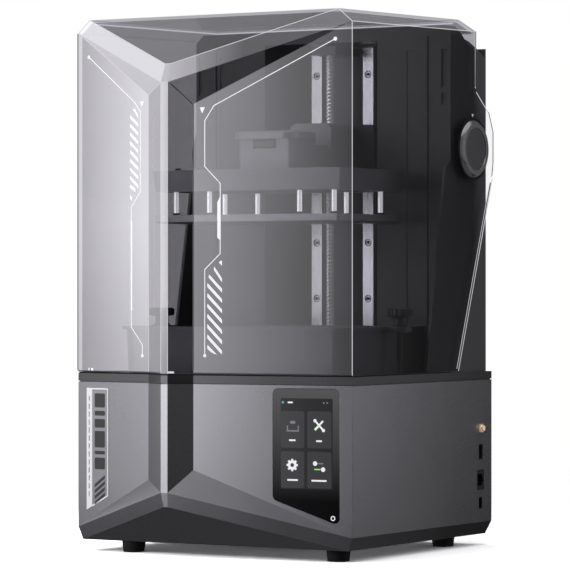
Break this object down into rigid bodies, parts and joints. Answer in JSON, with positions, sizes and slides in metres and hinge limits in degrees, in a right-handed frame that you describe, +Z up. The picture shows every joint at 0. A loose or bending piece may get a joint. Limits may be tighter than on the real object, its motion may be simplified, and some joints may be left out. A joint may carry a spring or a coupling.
{
  "type": "resin 3d printer",
  "caption": "Desktop resin printer with faceted base, slanted touch display, tilting vat bed, twin-rail Z tower, posted build platform and a flip-up smoke-tinted cover.",
  "frame": {"origin": "on the floor plane under the centre of the footprint", "axes": "+Z up, front (ridge and display) towards -Y, cover hinge axis along X near the rear"},
  "size_m": [0.337, 0.332, 0.552],
  "materials": {
    "graphite_paint": "fine metallic texture, satin",
    "black_glass": "polished black",
    "module_metal": "satin",
    "label_film": "printed film, plain blocks",
    "dark_trim": "satin",
    "seal_rubber": "matt",
    "smoke_clear": "clear smoke-tinted moulding, polished",
    "black_plastic": "moulded",
    "silver_ring": "satin",
    "black_satin": "satin",
    "steel": "ground",
    "tower_black": "fine moulded texture",
    "dark_anodised": "black anodised, bead blasted",
    "rail_steel": "ground",
    "black_steel": "black oxide",
    "nut_brass": "machined",
    "screw_steel": "rolled thread",
    "motor_black": "satin",
    "bracket_steel": "zinc plated",
    "dark_cast": "bead blasted",
    "post_silver": "turned",
    "plate_alu": "laser textured",
    "bed_alu": "satin",
    "vat_body": "dark anodised, polished",
    "film_clear": "thin stretched film",
    "cam_white": "moulded acetal on a steel shaft",
    "lens_clear": "clear moulding",
    "board_white": "white solder mask",
    "board_green": "solder mask",
    "psu_case": "perforated steel",
    "gold": "gold plated",
    "socket_shield": "plated shield",
    "rocker_black": "satin",
    "foot_rubber": "matt",
    "cable_black": "sleeved"
  },
  "bodies": {
    "chassis": {"base_shell": "graphite_paint", "display_glass": "black_glass", "display_module": "module_metal", "label_plate": "label_film", "deck_trim": "dark_trim", "cover_seal": "seal_rubber", "hinge_pins": "steel", "hinge_blocks": "black_plastic", "tower_shell": "tower_black", "tower_rear_cover": "tower_black", "z_back_plate": "dark_anodised", "z_rail_left": "rail_steel", "z_rail_right": "rail_steel", "rail_screws": "black_steel", "screw_top_block": "dark_anodised", "z_motor": "motor_black", "motor_brackets": "bracket_steel", "tilt_shaft": "steel", "tilt_hangers": "bracket_steel", "tilt_motor": "motor_black", "light_hood": "black_plastic", "collimating_lens": "lens_clear", "led_board": "board_white", "heat_sink": "bed_alu", "fan_frames": "black_plastic", "floor_plate": "bracket_steel", "circuit_boards": "board_green", "power_supply": "psu_case", "antenna_socket": "gold", "data_sockets": "socket_shield", "power_inlet": "black_plastic", "rubber_feet": "foot_rubber", "cable_loom": "cable_black"},
    "cover": {"clear_cover": "smoke_clear", "hinge_hubs": "black_plastic", "hinge_covers": "silver_ring", "hinge_caps": "black_satin"},
    "carriage": {"carriage_plate": "dark_anodised", "carriage_arm": "dark_anodised", "screw_nut": "nut_brass", "rail_blocks": "rail_steel", "platform_clamp": "dark_anodised", "platform_clamp_cap": "dark_anodised", "platform_frame": "dark_cast", "platform_posts": "post_silver", "platform_fasteners": "black_steel", "build_plate": "plate_alu"},
    "z_screw": {"lead_screw": "screw_steel"},
    "release_button": {"latch_button": "black_satin"},
    "vat_bed": {"tilt_bed": "bed_alu", "exposure_screen": "black_glass", "resin_vat": "vat_body", "release_film": "film_clear", "film_frame": "bed_alu"},
    "bed_cam": {"tilt_cam": "cam_white"},
    "left_knob": {"thumb_knob_left": "black_satin"},
    "right_knob": {"thumb_knob_right": "black_satin"},
    "engine_rotor": {"engine_fan_rotor": "black_plastic"},
    "exhaust_rotor": {"exhaust_fan_rotor": "black_plastic"},
    "rocker": {"power_rocker": "rocker_black"}
  },
  "joints": [
    {"name": "cover_hinge", "type": "hinge", "parent": "chassis", "child": "cover", "pos_m": [0, 0.1204, 0.4164], "axis": [-1, 0, 0], "range_deg": [0, 100]},
    {"name": "z_axis", "type": "slide", "parent": "chassis", "child": "carriage", "axis": [0, 0, 1], "range_m": [-0.1505, 0.0695]},
    {"name": "screw_spin", "type": "hinge", "parent": "chassis", "child": "z_screw", "pos_m": [0, 0.1035, 0.172], "axis": [0, 0, 1], "continuous": true},
    {"name": "bed_tilt", "type": "hinge", "parent": "chassis", "child": "vat_bed", "pos_m": [0, 0.075, 0.166], "axis": [1, 0, 0], "range_deg": [0, 2.5]},
    {"name": "cam_spin", "type": "hinge", "parent": "chassis", "child": "bed_cam", "pos_m": [0.085, -0.089, 0.15], "axis": [1, 0, 0], "range_deg": [0, 180]},
    {"name": "left_knob_turn", "type": "hinge", "parent": "vat_bed", "child": "left_knob", "pos_m": [-0.145, -0.0025, 0.24], "axis": [0, 0, 1], "continuous": true},
    {"name": "right_knob_turn", "type": "hinge", "parent": "vat_bed", "child": "right_knob", "pos_m": [0.145, -0.0025, 0.24], "axis": [0, 0, 1], "continuous": true},
    {"name": "release_press", "type": "slide", "parent": "carriage", "child": "release_button", "axis": [0, 1, 0], "range_m": [0, 0.003], "stiffness_N_per_m": 600},
    {"name": "rocker_turn", "type": "hinge", "parent": "chassis", "child": "rocker", "pos_m": [-0.0885, 0.162, 0.056], "axis": [0, 0, 1], "range_deg": [0, 16]},
    {"name": "engine_fan_spin", "type": "hinge", "parent": "chassis", "child": "engine_rotor", "pos_m": [0, -0.0025, 0.044], "axis": [0, 0, 1], "continuous": true},
    {"name": "exhaust_fan_spin", "type": "hinge", "parent": "chassis", "child": "exhaust_rotor", "pos_m": [0.082, 0.148, 0.095], "axis": [0, 1, 0], "continuous": true}
  ],
  "couplings": [
    {"joint": "screw_spin", "follows": "z_axis", "rad_per_m": -1570.8},
    {"joint": "cam_spin", "follows": "bed_tilt", "ratio": 72}
  ]
}
